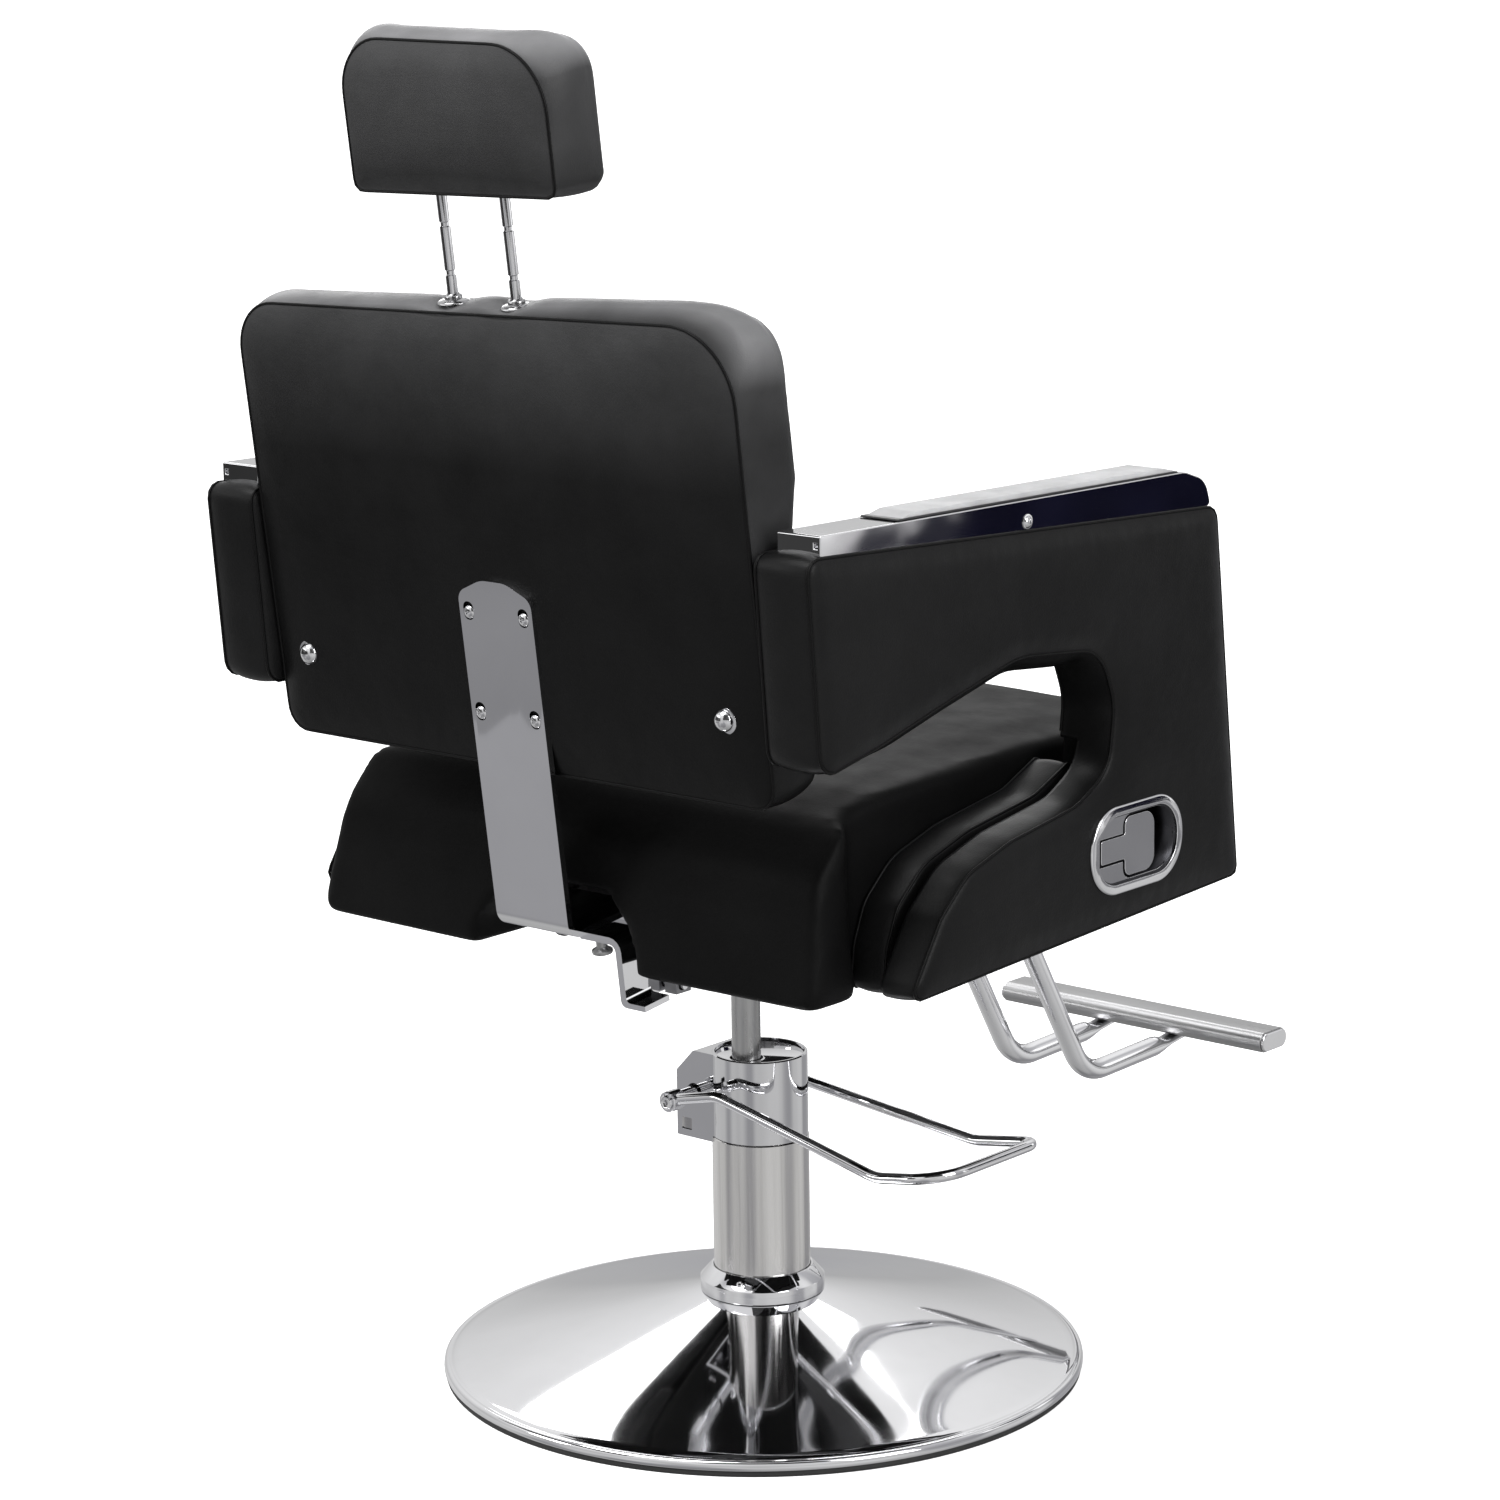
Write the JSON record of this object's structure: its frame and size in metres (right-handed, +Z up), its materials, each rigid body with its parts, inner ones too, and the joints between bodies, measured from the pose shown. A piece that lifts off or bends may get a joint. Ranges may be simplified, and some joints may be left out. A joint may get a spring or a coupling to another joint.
{
  "type": "styling chair",
  "caption": "Reclining black styling chair on a round chrome pedestal, with box arms, a tube footrest, a pump pedal, a side recline lever and a height-adjustable headrest.",
  "frame": {"origin": "middle of the pump's foot plate, on the floor", "axes": "+Z up, the sitter faces -Y, the sitter's right is -X"},
  "size_m": [0.6905, 0.9861, 1.222],
  "materials": {
    "black_leather": "smooth, soft sheen",
    "chrome": "mirror",
    "satin_steel": "satin",
    "plain_steel": "plain",
    "black_steel": "satin black paint",
    "arm_pad_grey": "satin dark grey",
    "plywood": "raw",
    "black_rubber": "matt"
  },
  "bodies": {
    "base": {"base_dish": "chrome", "base_rubber_ring": "black_rubber", "pump_foot_flange": "plain_steel", "hub_collar": "chrome", "collar_set_screw": "chrome", "pump_sleeve": "satin_steel", "pump_body": "black_steel", "pump_gland": "black_steel", "pump_shroud": "chrome", "pump_barrel": "plain_steel"},
    "ram": {"pump_ram": "satin_steel"},
    "seat": {"ram_socket": "black_steel", "seat_plate": "black_steel", "hinge_bracket": "black_steel", "recline_pin": "plain_steel", "gas_spring_cylinder": "black_steel", "gas_spring_mount": "black_steel", "release_cable": "black_rubber", "seat_board": "plywood", "seat_cushion": "black_leather", "side_panel_left": "black_leather", "side_panel_right": "black_leather", "seat_bolster_left": "black_leather", "seat_bolster_right": "black_leather", "arm_cap_left": "chrome", "arm_cap_right": "chrome", "arm_pad_left": "arm_pad_grey", "arm_pad_right": "arm_pad_grey", "arm_cap_bolt_left": "chrome", "arm_cap_bolt_right": "chrome", "lever_escutcheon": "chrome", "footrest_tube_left": "chrome", "footrest_tube_right": "chrome", "footrest_bar": "satin_steel", "footrest_clamp": "black_steel"},
    "recline_lever": {"recline_lever": "chrome"},
    "gas_spring_rod": {"gas_spring_rod": "plain_steel"},
    "back": {"back_bracket": "chrome", "back_board": "plywood", "back_cushion": "black_leather", "bracket_screw_upper_left": "chrome", "bracket_screw_upper_right": "chrome", "bracket_screw_lower_left": "chrome", "bracket_screw_lower_right": "chrome", "back_bolt_left": "chrome", "back_bolt_right": "chrome", "post_guide_left": "chrome", "post_guide_right": "chrome", "recline_arm": "chrome", "stop_stud_1": "satin_steel", "stop_stud_2": "satin_steel"},
    "headrest": {"headrest_post_left": "chrome", "headrest_post_right": "chrome", "headrest_cushion": "black_leather"},
    "pedal": {"pedal_shaft": "chrome", "pedal_bar": "chrome", "pedal_cam": "plain_steel"},
    "plunger": {"pump_plunger": "plain_steel"}
  },
  "joints": [
    {"name": "ram_lift", "type": "slide", "parent": "base", "child": "ram", "axis": [0, 0, 1], "range_m": [-0.03, 0.1]},
    {"name": "seat_swivel", "type": "hinge", "parent": "ram", "child": "seat", "pos_m": [0, 0.018, 0.4], "axis": [0, 0, 1], "continuous": true},
    {"name": "back_recline", "type": "hinge", "parent": "seat", "child": "back", "pos_m": [0, 0.205, 0.452], "axis": [-1, 0, 0], "range_deg": [0, 40]},
    {"name": "gas_spring_slide", "type": "slide", "parent": "seat", "child": "gas_spring_rod", "axis": [0, -1, 0], "range_m": [0, 0.0255]},
    {"name": "headrest_slide", "type": "slide", "parent": "back", "child": "headrest", "axis": [0, 0.1288, 0.9917], "range_m": [-0.08, 0.04]},
    {"name": "recline_lever_hinge", "type": "hinge", "parent": "seat", "child": "recline_lever", "pos_m": [-0.34, -0.06, 0.515], "axis": [0, 0, -1], "range_deg": [0, 25], "stiffness_Nm_per_rad": 0.6, "springref_deg": -5.73},
    {"name": "pedal_hinge", "type": "hinge", "parent": "base", "child": "pedal", "pos_m": [0.047, 0, 0.2535], "axis": [0, -1, 0], "range_deg": [0, 20], "stiffness_Nm_per_rad": 8, "springref_deg": -14.32},
    {"name": "plunger_slide", "type": "slide", "parent": "base", "child": "plunger", "axis": [0, 0, 1], "range_m": [0, 0.0045]}
  ],
  "couplings": [
    {"joint": "gas_spring_slide", "follows": "back_recline", "m_per_rad": 0.0359},
    {"joint": "plunger_slide", "follows": "pedal_hinge", "m_per_rad": 0.0115}
  ]
}
